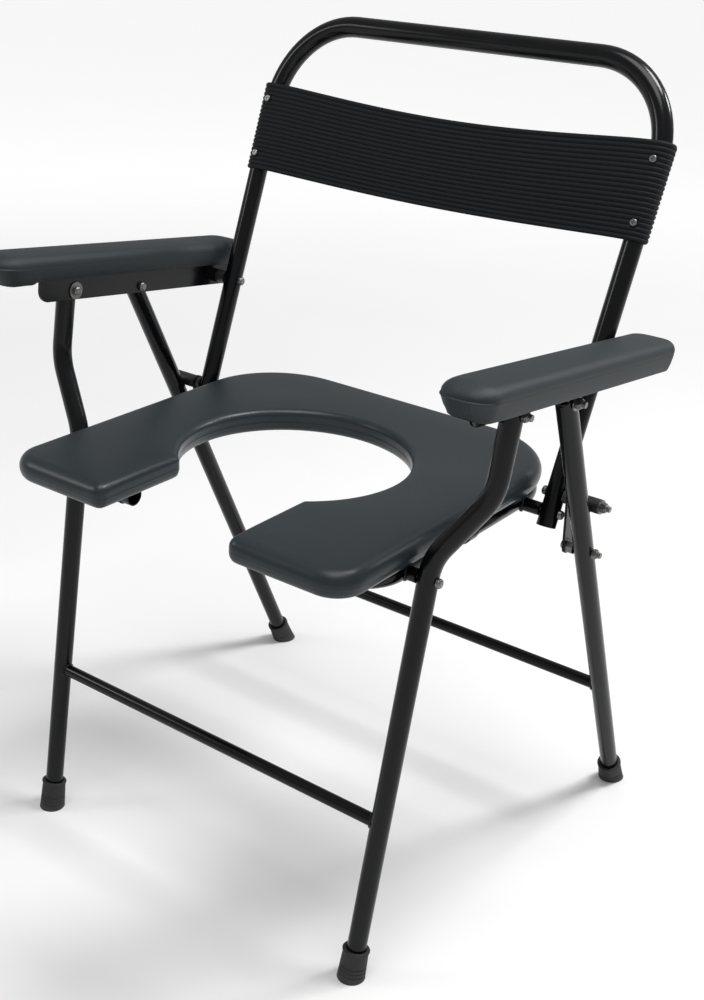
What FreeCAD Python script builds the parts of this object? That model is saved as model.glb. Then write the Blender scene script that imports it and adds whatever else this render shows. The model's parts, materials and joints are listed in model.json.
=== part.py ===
"""Folding commode chair: back frame, two padded arms, open-front seat, front and rear leg frames.

Units are millimetres. +X is the sitter's left, +Y points to the back of the chair, +Z is up. The origin
lies on the floor, on the centre plane, midway between the front and rear extremes. Side pieces are built
once for +X and mirrored for -X.
"""
import FreeCAD, Part
import math
import os

from FreeCAD import Placement, Rotation, Vector

# ---- tubes and bars ----
TUBE_R = 11.0
TUBE_WALL = 1.2
BAR_R = 7.5
BAR_WALL = 1.0

# ---- planes of the side pieces, distance from the centre plane ----
UPRIGHT_X = 250.0
ARM_LEG_X = 289.0          # rear legs, and front legs above their bend
FRONT_LEG_X = 241.0        # front legs below their bend
RAIL_X = 208.0

# ---- pivots in the side view, (y, z) ----
BACK_LEAN = 0.355          # rearward run of the back frame per unit of height
ARM_REAR_PIVOT = (97.8, 616.0)
SEAT_REAR_Z = 469.0
STOP_Z = 489.0
SEAT_FRONT_PIVOT = (-187.5, 471.0)
ARM_FRONT_PIVOT = (-151.5, 644.0)
ARM_MID_PIVOT = (-43.9, 629.0)
LINK_DOWN_LEG = 227.0      # link bolt below the rear leg's top pivot, along the leg

# ---- legs ----
FRONT_FOOT_Y = -261.5
REAR_FOOT_Y = 292.5
FRONT_KNEE = (-184.0, 492.0)
FRONT_ELBOW = (-164.0, 566.0)
LEG_BEND_R = 60.0
END_R = 11.4               # rounding of a leg's top end, centred below its bolt
END_BACK = 3.5
CROSSBAR_Z = 196.0
TIP_HEIGHT = 38.0
TIP_TOP_R = 14.6
TIP_BOTTOM_R = 16.4
TIP_COLLAR = 3.0
TIP_COLLAR_R = 15.6
TIP_FLOOR = 7.0            # rubber under the end of the tube

# ---- back frame, along its own slope from the seat pivot ----
BACK_BOTTOM = -16.0
BACK_TOP = 463.0
BACK_CORNER_R = 95.0
BAND_LOW = 289.0
BAND_HIGH = 388.0
BAND_T = 3.4
BAND_SAG = 7.0
BAND_TAIL = 30.0           # how far the band runs in again behind each upright
BAND_SCREW_S = (306.5, 369.5)

# ---- seat ----
PAD_BOTTOM = 482.0
PAD_TOP = 511.0
SEAT_HALF = 227.0
SEAT_FRONT = -311.5
SEAT_REAR = 141.5
SEAT_FRONT_R = 36.0
SEAT_REAR_R = 108.0
HOLE_R = 129.0
HOLE_Y = -89.5
GAP_HALF = 84.0
GAP_CORNER_R = 10.0
PAD_EDGE_R = 7.0
BOARD_INSET = 9.0
BOARD_T = 6.0
RAIL_Z = PAD_BOTTOM - TUBE_R
RAIL_FRONT_Y = -237.5
RAIL_REAR_Y = 119.5
RAIL_FRONT_R = 45.0
RAIL_REAR_R = 68.0
RAIL_END_X = 105.0
CLIP_SIDE_Y = -65.0
CLIP_REAR_X = 115.0
CLIP_FROM_END = 22.0
CLIP_W = 16.0
CLIP_T = 1.5
CLIP_EAR = 28.0            # reach of the ear from the tube's centre line
CLIP_SCREW = 6.5
LUG_R = 7.5

# ---- arms, in the arm's own slope: v runs rearward from its rear pivot, w upward ----
BRACKET_X = 274.5
BRACKET_T = 3.0
BRACKET_LOW = -10.0
BRACKET_HIGH = 14.6
BRACKET_FRONT = -305.0
BRACKET_REAR = 38.0
BRACKET_OUT = 301.0
BRACKET_CORNER_R = 13.0
PAD_IN_X = 266.0
PAD_OUT_X = 322.0
PAD_FRONT_V = -366.0
PAD_REAR_V = 44.0
PAD_T = 28.4
PAD_REAR_R = 19.6
PAD_SCREW_V = (-289.0, -65.0, 18.0)
WINDOW = 32.0              # opening in the shelf over the front leg's end

# ---- fasteners ----
BOLT_R = 3.2
HEAD_R = 5.2
HEAD_H = 5.0
HEAD_ROUND = 2.75
WASHER_R = 8.0
WASHER_T = 1.2
NUT_ACROSS = 10.0
NUT_H = 6.0                # with its locking collar
COLLAR_H = 1.4
COLLAR_R = 4.4
NUT_CHAMFER = 0.7
THREAD_OUT = 3.5
RUN = 0.05                 # radial clearance of a turning fit
GAP = 0.3                  # clearance between faces that slide past each other
OPEN_HOLE_R = 6.5          # bracket hole at the front legs' bolt
WIDE_WASHER_R = 9.6
STOP_END_X = 303.0
LINK_X = 266.6
LINK_T = 3.0
LINK_HALF = 9.0
SMALL_R = 1.8
SMALL_HEAD_R = 3.8
SMALL_HEAD_H = 2.2
CROSS_LONG = 4.2           # driver recess of the small screws
CROSS_WIDE = 0.9
CROSS_DEEP = 1.2

PARTS = "parts"
X_AXIS = Vector(1, 0, 0)


# ---- places worked out from the driving dimensions ----
def on_back(z):
    """The point of the back frame's centre line at height z, in the side view."""
    return (ARM_REAR_PIVOT[0] + (z - ARM_REAR_PIVOT[1]) * BACK_LEAN, z)


SEAT_REAR_PIVOT = on_back(SEAT_REAR_Z)
STOP = on_back(STOP_Z)
BACK_TILT = math.degrees(math.atan(BACK_LEAN))
ARM_SLOPE = math.atan2(ARM_FRONT_PIVOT[1] - ARM_REAR_PIVOT[1], ARM_REAR_PIVOT[0] - ARM_FRONT_PIVOT[0])
FRONT_REACH = math.dist(ARM_FRONT_PIVOT, ARM_REAR_PIVOT)


def side(point, x=0.0):
    """A side-view point as a vector at distance x from the centre plane."""
    return Vector(x, point[0], point[1])


REAR_TOP = side(ARM_MID_PIVOT, ARM_LEG_X)
REAR_FOOT = Vector(ARM_LEG_X, REAR_FOOT_Y, 0)
REAR_DIR = (REAR_FOOT - REAR_TOP).normalize()
LINK_LOW = REAR_TOP + REAR_DIR * LINK_DOWN_LEG
FRONT_FOOT = Vector(FRONT_LEG_X, FRONT_FOOT_Y, 0)
FRONT_DIR = (FRONT_FOOT - side(FRONT_KNEE, FRONT_LEG_X)).normalize()


def stop_gap():
    """Distance from the stop bolt to the rear leg's centre line, in the side view."""
    across = side(STOP, ARM_LEG_X) - REAR_TOP
    return across.cross(REAR_DIR).Length


SLEEVE_R = stop_gap() - TUBE_R - RUN


# ---- shape helpers ----
def rod(start, end, radius):
    """A solid cylinder from one point to another."""
    run = end - start
    return Part.makeCylinder(radius, run.Length, start, run)


def across(x0, x1, point, radius):
    """A solid cylinder along X between two distances from the centre plane."""
    return rod(side(point, x0), side(point, x1), radius)


def hex_nut(face, end, point):
    """A lock nut along X, from the face it bears on: chamfered hexagon, then a round locking collar."""
    radius = NUT_ACROSS / math.sqrt(3)
    corners = [Vector(face, point[0] + radius * math.cos(math.radians(60 * k)),
                      point[1] + radius * math.sin(math.radians(60 * k))) for k in range(7)]
    hex_end = end - math.copysign(COLLAR_H, end - face)
    prism = Part.Face(Part.makePolygon(corners)).extrude(Vector(hex_end - face, 0, 0))
    turned = across(face, hex_end, point, radius - RUN)
    turned = turned.makeChamfer(NUT_CHAMFER, [e for e in turned.Edges if len(e.Vertexes) == 1])
    collar = across(hex_end, end, point, COLLAR_R)
    rim = [e for e in collar.Edges if len(e.Vertexes) == 1 and abs(e.CenterOfMass.x - end) < RUN]
    return fuse([prism.common(turned), collar.makeFillet(COLLAR_H / 2, rim)])


def dome_head(x_face, x_top, point):
    """A round head on the face at x_face, its rim rounded towards x_top."""
    head = across(x_face, x_top, point, HEAD_R)
    rims = [e for e in head.Edges if len(e.Vertexes) == 1 and abs(e.CenterOfMass.x - x_top) < RUN]
    return head.makeFillet(HEAD_ROUND, rims)


def pan_screw(face, into, length):
    """Shank and crossed head of a small screw, its head on the given face and its shank going in."""
    shank = rod(face, face + into * length, SMALL_R)
    head = Part.makeCylinder(SMALL_HEAD_R, SMALL_HEAD_H)
    rim = [e for e in head.Edges if len(e.Vertexes) == 1 and e.CenterOfMass.z > SMALL_HEAD_H / 2]
    head = head.makeFillet(SMALL_HEAD_H / 2, rim)
    for size_x, size_y in ((CROSS_LONG, CROSS_WIDE), (CROSS_WIDE, CROSS_LONG)):
        corner = Vector(-size_x / 2, -size_y / 2, SMALL_HEAD_H - CROSS_DEEP)
        head = head.cut(Part.makeBox(size_x, size_y, SMALL_HEAD_H, corner))
    head.Placement = Placement(face, Rotation(Vector(0, 0, 1), -into))
    return shank, head


def mirrored(shape):
    """The same piece on the other side of the centre plane."""
    return shape.mirror(Vector(0, 0, 0), X_AXIS)


def both(shape):
    """A piece and its mirror image."""
    return [shape, mirrored(shape)]


def fuse(shapes):
    """One solid out of pieces that are formed in one."""
    return shapes[0].fuse(shapes[1:]).removeSplitter()


def bent_path(points, radius):
    """Straight runs joined by tangent arcs, one radius for each corner."""
    edges = []
    last = points[0]
    for index in range(1, len(points) - 1):
        corner = points[index]
        back_dir = (points[index - 1] - corner).normalize()
        on_dir = (points[index + 1] - corner).normalize()
        half = back_dir.getAngle(on_dir) / 2
        reach = radius[index - 1] / math.tan(half)
        start, end = corner + back_dir * reach, corner + on_dir * reach
        inward = (back_dir + on_dir).normalize()
        middle = corner + inward * (radius[index - 1] / math.sin(half) - radius[index - 1])
        edges.append(Part.LineSegment(last, start).toShape())
        edges.append(Part.Arc(start, middle, end).toShape())
        last = end
    edges.append(Part.LineSegment(last, points[-1]).toShape())
    return Part.Wire(edges)


def bent_tube(points, radius, outer=TUBE_R, wall=TUBE_WALL):
    """A hollow round tube along a bent path, and the solid that fills its outside."""
    path = bent_path(points, radius)
    along = (points[1] - points[0]).normalize()
    solids = []
    for section in (outer, outer - wall):
        ring = Part.Wire([Part.Circle(points[0], along, section).toShape()])
        solids.append(path.makePipeShell([ring], True, False))
    return solids[0].cut(solids[1]), solids[0]


def rounded_end(pivot, x_plane, away):
    """What is cut from a tube's end so that it turns about its bolt close under a plate."""
    centre = side(pivot, x_plane) - away * END_BACK
    beyond = Part.makeBox(4 * TUBE_R, 4 * TUBE_R, 3 * TUBE_R, Vector(-2 * TUBE_R, -2 * TUBE_R, 0))
    beyond.Placement = Placement(centre, Rotation(Vector(0, 0, 1), away))
    return beyond.cut(across(x_plane - 3 * TUBE_R, x_plane + 3 * TUBE_R, (centre.y, centre.z), END_R))


def on_slope(shape, pivot, tilt):
    """Lay a piece drawn about a side pivot onto its own slope."""
    shape.Placement = Placement(side(pivot), Rotation(X_AXIS, -tilt)).multiply(shape.Placement)
    return shape


def save(name, shapes):
    """Write one node: a single solid, or a group of separate solids."""
    solids = shapes if isinstance(shapes, list) else [shapes]
    whole = solids[0] if len(solids) == 1 else Part.makeCompound(solids)
    if not whole.isValid():
        raise ValueError(name + " is not a valid shape")
    whole.exportStep(os.path.join(PARTS, name + ".step"))


# ---- back frame ----
def back_frame():
    """The upturned U of tube, drilled for its three bolts on each side and for the band's screws."""
    corners = [Vector(-UPRIGHT_X, 0, BACK_BOTTOM), Vector(-UPRIGHT_X, 0, BACK_TOP),
               Vector(UPRIGHT_X, 0, BACK_TOP), Vector(UPRIGHT_X, 0, BACK_BOTTOM)]
    tube = bent_tube(corners, [BACK_CORNER_R] * 2)[0]
    tube = tube.cut([screw[0] for screw in band_screw_shapes()])
    tube = on_slope(tube, SEAT_REAR_PIVOT, BACK_TILT)
    drills = []
    for pivot in (SEAT_REAR_PIVOT, STOP, ARM_REAR_PIVOT):
        drills += both(across(UPRIGHT_X - 2 * TUBE_R, UPRIGHT_X + 2 * TUBE_R, pivot, BOLT_R))
    return tube.cut(drills)


def band_screw_shapes():
    """Shank and head of each band screw, on the back frame's slope, pointing rearward."""
    length = TUBE_R + BAND_T
    return [pan_screw(Vector(x, -length, s), Vector(0, 1, 0), length)
            for x in (-UPRIGHT_X, UPRIGHT_X) for s in BAND_SCREW_S]


def band():
    """The rubberised band: across the front of both uprights, round their outsides and in again behind."""
    inner, outer = TUBE_R, TUBE_R + BAND_T

    def outline(reach):
        """Points of one face of the band on the +X side, from the middle of the back's width outward."""
        sagged = Vector(0, BAND_SAG - reach, 0)
        shoulder = Vector(UPRIGHT_X - BAND_TAIL, -reach, 0)
        front = Vector(UPRIGHT_X, -reach, 0)
        side_arc = Part.Arc(front, Vector(UPRIGHT_X + reach, 0, 0), Vector(UPRIGHT_X, reach, 0))
        tail = Vector(UPRIGHT_X - BAND_TAIL, reach, 0)
        return sagged, shoulder, front, side_arc, tail

    faces = []
    for reach in (outer, inner):
        sagged, shoulder, front, side_arc, tail = outline(reach)
        mirror_shoulder = Vector(-shoulder.x, shoulder.y, 0)
        middle = Part.Arc(mirror_shoulder, sagged, shoulder).toShape()
        right = [Part.LineSegment(shoulder, front).toShape(), side_arc.toShape(),
                 Part.LineSegment(side_arc.EndPoint, tail).toShape()]
        faces.append([middle] + right + [mirrored(edge) for edge in right])
    ends = []
    for sign in (-1, 1):
        x = sign * (UPRIGHT_X - BAND_TAIL)
        ends.append(Part.LineSegment(Vector(x, inner, 0), Vector(x, outer, 0)).toShape())
    wire = Part.Wire(Part.__sortEdges__(faces[0] + faces[1] + ends))
    solid = Part.Face(wire).extrude(Vector(0, 0, BAND_HIGH - BAND_LOW))
    solid.translate(Vector(0, 0, BAND_LOW))
    solid = solid.cut([screw[0] for screw in band_screw_shapes()])
    return on_slope(solid, SEAT_REAR_PIVOT, BACK_TILT)


def back_group():
    """Everything that stays with the back frame."""
    save("back_frame", back_frame())
    save("back_band", band())
    screws = [on_slope(fuse(list(pair)), SEAT_REAR_PIVOT, BACK_TILT) for pair in band_screw_shapes()]
    save("band_screws", screws)

    inside, outside = UPRIGHT_X - TUBE_R, UPRIGHT_X + TUBE_R
    bracket_out = BRACKET_X + BRACKET_T
    arm_end = bracket_out + GAP + WASHER_T + NUT_H + THREAD_OUT
    arm_bolt = fuse([dome_head(inside, inside - HEAD_H, ARM_REAR_PIVOT),
                     across(inside, arm_end, ARM_REAR_PIVOT, BOLT_R)])
    save("arm_pivot_bolts", both(arm_bolt))
    spacer = across(outside, BRACKET_X - GAP, ARM_REAR_PIVOT, WASHER_R)
    save("arm_pivot_spacers", both(spacer.cut(arm_bolt)))
    nut_at = bracket_out + GAP
    nut = fuse([across(nut_at, nut_at + WASHER_T, ARM_REAR_PIVOT, WASHER_R),
                hex_nut(nut_at + WASHER_T, nut_at + WASHER_T + NUT_H, ARM_REAR_PIVOT)])
    save("arm_pivot_nuts", both(nut.cut(arm_bolt)))

    stop_out = STOP_END_X + 2 * WASHER_T + NUT_H + THREAD_OUT
    stop_bolt = fuse([dome_head(inside, inside - HEAD_H, STOP), across(inside, stop_out, STOP, BOLT_R)])
    save("stop_bolts", both(stop_bolt))
    bush = across(outside, LINK_X - GAP, STOP, WASHER_R)
    save("stop_spacers", both(bush.cut(stop_bolt)))
    sleeve = across(LINK_X + LINK_T + GAP, STOP_END_X, STOP, SLEEVE_R)
    save("stop_sleeves", both(sleeve.cut(stop_bolt)))
    stop_nut = fuse([across(STOP_END_X, STOP_END_X + 2 * WASHER_T, STOP, WASHER_R),
                     hex_nut(STOP_END_X + 2 * WASHER_T, stop_out - THREAD_OUT, STOP)])
    save("stop_nuts", both(stop_nut.cut(stop_bolt)))

    nut_face = RAIL_X - TUBE_R - GAP
    seat_bolt = fuse([dome_head(outside, outside + HEAD_H, SEAT_REAR_PIVOT),
                      across(nut_face - NUT_H - THREAD_OUT, outside, SEAT_REAR_PIVOT, BOLT_R)])
    save("seat_pivot_bolts", both(seat_bolt))
    save("seat_pivot_nuts", both(hex_nut(nut_face, nut_face - NUT_H, SEAT_REAR_PIVOT).cut(seat_bolt)))


# ---- seat ----
def seat_plan():
    """The seat's outline in plan: bow-cornered rectangle, round hole, straight gap to the front."""
    mouth_y = HOLE_Y - math.sqrt(HOLE_R ** 2 - GAP_HALF ** 2)
    outside = bent_path([Vector(GAP_HALF, SEAT_FRONT, 0), Vector(SEAT_HALF, SEAT_FRONT, 0),
                         Vector(SEAT_HALF, SEAT_REAR, 0), Vector(-SEAT_HALF, SEAT_REAR, 0),
                         Vector(-SEAT_HALF, SEAT_FRONT, 0), Vector(-GAP_HALF, SEAT_FRONT, 0)],
                        [SEAT_FRONT_R, SEAT_REAR_R, SEAT_REAR_R, SEAT_FRONT_R])
    inside = [Part.LineSegment(Vector(-GAP_HALF, SEAT_FRONT, 0), Vector(-GAP_HALF, mouth_y, 0)).toShape(),
              Part.Arc(Vector(-GAP_HALF, mouth_y, 0), Vector(0, HOLE_Y + HOLE_R, 0),
                       Vector(GAP_HALF, mouth_y, 0)).toShape(),
              Part.LineSegment(Vector(GAP_HALF, mouth_y, 0), Vector(GAP_HALF, SEAT_FRONT, 0)).toShape()]
    face = Part.Face(Part.Wire(Part.__sortEdges__(outside.Edges + inside)))
    return face


def slab(face, bottom, top):
    """A flat plate of the given plan between two heights."""
    plate = face.extrude(Vector(0, 0, top - bottom))
    plate.translate(Vector(0, 0, bottom))
    return plate.Solids[0]


def seat_pad(board_face):
    """The moulded pad, with the pocket that takes the board."""
    pad = slab(seat_plan(), PAD_BOTTOM, PAD_TOP)
    corners = [e for e in pad.Edges if abs(e.BoundBox.ZLength - (PAD_TOP - PAD_BOTTOM)) < RUN
               and abs(e.CenterOfMass.y - SEAT_FRONT) < RUN]
    pad = pad.makeFillet(GAP_CORNER_R, corners)
    rim = [e for e in pad.Edges if e.BoundBox.ZMin > PAD_TOP - RUN]
    pad = pad.makeFillet(PAD_EDGE_R, rim)
    return pad.cut(slab(board_face, PAD_BOTTOM, PAD_BOTTOM + BOARD_T))


def clip(centre, turn):
    """A strap round the underside of the seat frame's tube, with one screwed ear, and its screw."""
    inner, outer = TUBE_R, TUBE_R + CLIP_T
    strap = Part.makeCylinder(outer, CLIP_W, Vector(0, -CLIP_W / 2, 0), Vector(0, 1, 0))
    strap = strap.fuse(Part.makeBox(2 * outer, CLIP_W, inner, Vector(-outer, -CLIP_W / 2, 0)))
    strap = strap.fuse(Part.makeBox(CLIP_EAR, CLIP_W, CLIP_T, Vector(0, -CLIP_W / 2, inner - CLIP_T)))
    hollow = Part.makeCylinder(inner, 2 * CLIP_W, Vector(0, -CLIP_W, 0), Vector(0, 1, 0))
    hollow = hollow.fuse(Part.makeBox(2 * inner, 2 * CLIP_W, outer, Vector(-inner, -CLIP_W, 0)))
    face = Vector(CLIP_EAR - CLIP_W / 2, 0, inner - CLIP_T)
    shank, head = pan_screw(face, Vector(0, 0, 1), CLIP_SCREW)
    strap = strap.cut([hollow, shank])
    placed = [strap, fuse([shank, head])]
    for piece in placed:
        piece.Placement = Placement(centre, Rotation(Vector(0, 0, 1), turn))
    return placed


def seat_group():
    """The seat: pad, board, welded horseshoe of tubes, its straps and screws, and the lugs at its pivots."""
    board_face = seat_plan().makeOffset2D(-BOARD_INSET)
    corners = [Vector(RAIL_END_X, RAIL_FRONT_Y, RAIL_Z), Vector(RAIL_X, RAIL_FRONT_Y, RAIL_Z),
               Vector(RAIL_X, RAIL_REAR_Y, RAIL_Z), Vector(-RAIL_X, RAIL_REAR_Y, RAIL_Z),
               Vector(-RAIL_X, RAIL_FRONT_Y, RAIL_Z), Vector(-RAIL_END_X, RAIL_FRONT_Y, RAIL_Z)]
    tube, tube_filled = bent_tube(corners, [RAIL_FRONT_R, RAIL_REAR_R, RAIL_REAR_R, RAIL_FRONT_R])
    lugs, drills = [], []
    for pivot, reach in ((SEAT_REAR_PIVOT, UPRIGHT_X - TUBE_R), (SEAT_FRONT_PIVOT, FRONT_LEG_X - TUBE_R)):
        drill = across(RAIL_X - 2 * TUBE_R, reach, pivot, BOLT_R + RUN)
        lug = across(RAIL_X, reach - GAP, pivot, LUG_R).cut([tube_filled, drill])
        lugs += both(lug)
        drills += both(drill)
    tube = tube.cut(drills)
    join_x, join_y = RAIL_X - RAIL_REAR_R, RAIL_REAR_Y - RAIL_REAR_R
    ahead = Part.makeBox(2 * RAIL_X, RAIL_REAR_Y - RAIL_FRONT_Y, 4 * TUBE_R,
                         Vector(0, join_y - (RAIL_REAR_Y - RAIL_FRONT_Y), RAIL_Z - 2 * TUBE_R))
    behind = Part.makeBox(RAIL_X, 2 * RAIL_REAR_R, 4 * TUBE_R, Vector(join_x, join_y, RAIL_Z - 2 * TUBE_R))
    rail, bend = tube.common(ahead), tube.common(behind)
    save("seat_frame_rail_left", rail)
    save("seat_frame_rail_right", mirrored(rail))
    save("seat_frame_bend_left", bend)
    save("seat_frame_bend_right", mirrored(bend))
    save("seat_frame_rear", tube.cut(both(ahead) + both(behind)))
    save("seat_lugs", lugs)
    save("seat_pad", seat_pad(board_face))

    places = [(Vector(RAIL_END_X + CLIP_FROM_END, RAIL_FRONT_Y, RAIL_Z), 90),
              (Vector(RAIL_X, CLIP_SIDE_Y, RAIL_Z), 180), (Vector(CLIP_REAR_X, RAIL_REAR_Y, RAIL_Z), -90)]
    straps, screws = [], []
    for centre, turn in places:
        strap, screw = clip(centre, turn)
        straps += both(strap)
        screws += both(screw)
    save("seat_clips", straps)
    save("seat_clip_screws", screws)
    save("seat_board", slab(board_face, PAD_BOTTOM, PAD_BOTTOM + BOARD_T).cut(screws))


# ---- arms ----
def arm_group(label, place):
    """One arm: angle bracket, pad, pad screws, and the bolt that its rear leg turns on."""
    face, out = BRACKET_X, BRACKET_X + BRACKET_T
    plate = Part.makeBox(BRACKET_T, BRACKET_REAR - BRACKET_FRONT, BRACKET_HIGH - BRACKET_LOW,
                         Vector(BRACKET_X, BRACKET_FRONT, BRACKET_LOW))
    lower = [e for e in plate.Edges if e.BoundBox.ZMax < BRACKET_LOW + RUN and e.BoundBox.YLength < RUN]
    plate = plate.makeFillet(BRACKET_CORNER_R, lower)
    shelf = Part.makeBox(BRACKET_OUT - BRACKET_X, BRACKET_REAR - BRACKET_FRONT, BRACKET_T,
                         Vector(BRACKET_X, BRACKET_FRONT, BRACKET_HIGH - BRACKET_T))
    bracket = fuse([plate, shelf])
    # The shelf is open above the front leg's end, which turns there.

    window = Part.makeBox(BRACKET_OUT - out, WINDOW, 2 * BRACKET_T,
                          Vector(out, -FRONT_REACH - WINDOW / 2, BRACKET_HIGH - 2 * BRACKET_T))
    bracket = bracket.cut(window)

    half = (PAD_OUT_X - PAD_IN_X) / 2
    middle = (PAD_OUT_X + PAD_IN_X) / 2
    round_front = Part.makeCylinder(half, PAD_T, Vector(middle, PAD_FRONT_V + half, BRACKET_HIGH))
    block = Part.makeBox(2 * half, PAD_REAR_V - PAD_FRONT_V - half, PAD_T,
                         Vector(PAD_IN_X, PAD_FRONT_V + half, BRACKET_HIGH))
    rear = [e for e in block.Edges if e.BoundBox.ZLength > PAD_T / 2 and e.BoundBox.YMin > PAD_REAR_V - RUN]
    pad = fuse([round_front, block.makeFillet(PAD_REAR_R, rear)])
    rim = [e for e in pad.Edges if e.BoundBox.ZMin > BRACKET_HIGH + PAD_T - RUN]
    pad = pad.makeFillet(PAD_EDGE_R, rim)

    screw_x = (out + BRACKET_OUT) / 2
    screws = [fuse(list(pan_screw(Vector(screw_x, v, BRACKET_HIGH - BRACKET_T), Vector(0, 0, 1),
                                  BRACKET_T + PAD_T / 2))) for v in PAD_SCREW_V]
    pad, bracket = pad.cut(screws), bracket.cut(screws)

    tilt = math.degrees(ARM_SLOPE)
    pad, bracket = (on_slope(piece, ARM_REAR_PIVOT, tilt) for piece in (pad, bracket))
    screws = [on_slope(piece, ARM_REAR_PIVOT, tilt) for piece in screws]
    bracket = bracket.cut([across(face - RUN, out + RUN, ARM_REAR_PIVOT, BOLT_R + RUN),
                           across(face - RUN, out + RUN, ARM_MID_PIVOT, BOLT_R),
                           across(face - RUN, out + RUN, ARM_FRONT_PIVOT, OPEN_HOLE_R)])
    leg_out = ARM_LEG_X + TUBE_R + GAP
    bolt = fuse([dome_head(face, face - HEAD_H, ARM_MID_PIVOT),
                 across(face, leg_out + WASHER_T + NUT_H + THREAD_OUT, ARM_MID_PIVOT, BOLT_R)])
    nut = fuse([across(leg_out, leg_out + WASHER_T, ARM_MID_PIVOT, WASHER_R),
                hex_nut(leg_out + WASHER_T, leg_out + WASHER_T + NUT_H, ARM_MID_PIVOT)]).cut(bolt)
    save("arm_bracket_" + label, place(bracket))
    save("arm_pad_" + label, place(pad))
    save("arm_pad_screws_" + label, [place(piece) for piece in screws])
    save("rear_leg_bolt_" + label, place(bolt))
    save("rear_leg_nut_" + label, place(nut))


# ---- legs ----
def foot_tip(foot, direction):
    """A tapered rubber tip on the end of a leg, flat on the floor."""
    top = foot - direction * TIP_HEIGHT
    collar_end = top + direction * TIP_COLLAR
    below = foot + direction * TIP_HEIGHT
    per_length = (TIP_BOTTOM_R - TIP_TOP_R) / (foot - collar_end).Length
    low_r = TIP_BOTTOM_R + per_length * TIP_HEIGHT
    tip = Part.makeCone(TIP_TOP_R, low_r, (below - collar_end).Length, collar_end, direction)
    tip = tip.fuse(Part.makeCylinder(TIP_COLLAR_R, TIP_COLLAR, top, direction)).removeSplitter()
    floor = Part.makeBox(4 * TIP_HEIGHT, 4 * TIP_HEIGHT, 2 * TIP_HEIGHT,
                         foot - Vector(2 * TIP_HEIGHT, 2 * TIP_HEIGHT, 2 * TIP_HEIGHT))
    tube_end = foot - direction * TIP_FLOOR
    return tip.cut([floor, rod(top - direction, tube_end, TUBE_R)])


def crossbar(y, leg_filled):
    """A thinner bar welded between the two legs of a frame, coped to their sides."""
    reach = leg_filled.BoundBox.XMax
    bar = rod(Vector(-reach, y, CROSSBAR_Z), Vector(reach, y, CROSSBAR_Z), BAR_R)
    bore = rod(Vector(-reach, y, CROSSBAR_Z), Vector(reach, y, CROSSBAR_Z), BAR_R - BAR_WALL)
    pieces = bar.cut(bore).cut(both(leg_filled)).Solids
    return max(pieces, key=lambda piece: piece.Volume)


def front_legs():
    """The front leg frame: two offset-bent tubes, a bar, rubber tips and four bolts."""
    elbow = side(FRONT_ELBOW, ARM_LEG_X)
    pivot = side(ARM_FRONT_PIVOT, ARM_LEG_X)
    top = pivot + (pivot - elbow).normalize() * (2 * TUBE_R)
    tube_end = FRONT_FOOT - FRONT_DIR * TIP_FLOOR
    tube, filled = bent_tube([tube_end, side(FRONT_KNEE, FRONT_LEG_X), elbow, top], [LEG_BEND_R] * 2)
    spare = rounded_end(ARM_FRONT_PIVOT, ARM_LEG_X, (pivot - elbow).normalize())
    holes = [across(x - 2 * TUBE_R, x + 2 * TUBE_R, place, BOLT_R)
             for x, place in ((FRONT_LEG_X, SEAT_FRONT_PIVOT), (ARM_LEG_X, ARM_FRONT_PIVOT))]
    tube = tube.cut([spare] + holes)
    save("front_leg_right", mirrored(tube))
    save("front_leg_left", tube)
    y_bar = FRONT_FOOT.y + FRONT_DIR.y * CROSSBAR_Z / FRONT_DIR.z
    save("front_crossbar", crossbar(y_bar, filled))
    tip = foot_tip(FRONT_FOOT, FRONT_DIR)
    save("front_tip_right", mirrored(tip))
    save("front_tip_left", tip)

    head_face = BRACKET_X - GAP - WASHER_T
    leg_out = ARM_LEG_X + TUBE_R
    arm_bolt = fuse([dome_head(head_face, head_face - HEAD_H, ARM_FRONT_PIVOT),
                     across(head_face, head_face + WASHER_T, ARM_FRONT_PIVOT, WIDE_WASHER_R),
                     across(head_face, leg_out + NUT_H + THREAD_OUT, ARM_FRONT_PIVOT, BOLT_R)])
    save("front_arm_bolts", both(arm_bolt))
    save("front_arm_nuts", both(hex_nut(leg_out, leg_out + NUT_H, ARM_FRONT_PIVOT).cut(arm_bolt)))
    seat_face = FRONT_LEG_X + TUBE_R
    nut_face = RAIL_X - TUBE_R - GAP
    seat_bolt = fuse([dome_head(seat_face, seat_face + HEAD_H, SEAT_FRONT_PIVOT),
                      across(nut_face - NUT_H - THREAD_OUT, seat_face, SEAT_FRONT_PIVOT, BOLT_R)])
    save("front_seat_bolts", both(seat_bolt))
    save("front_seat_nuts", both(hex_nut(nut_face, nut_face - NUT_H, SEAT_FRONT_PIVOT).cut(seat_bolt)))


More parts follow.
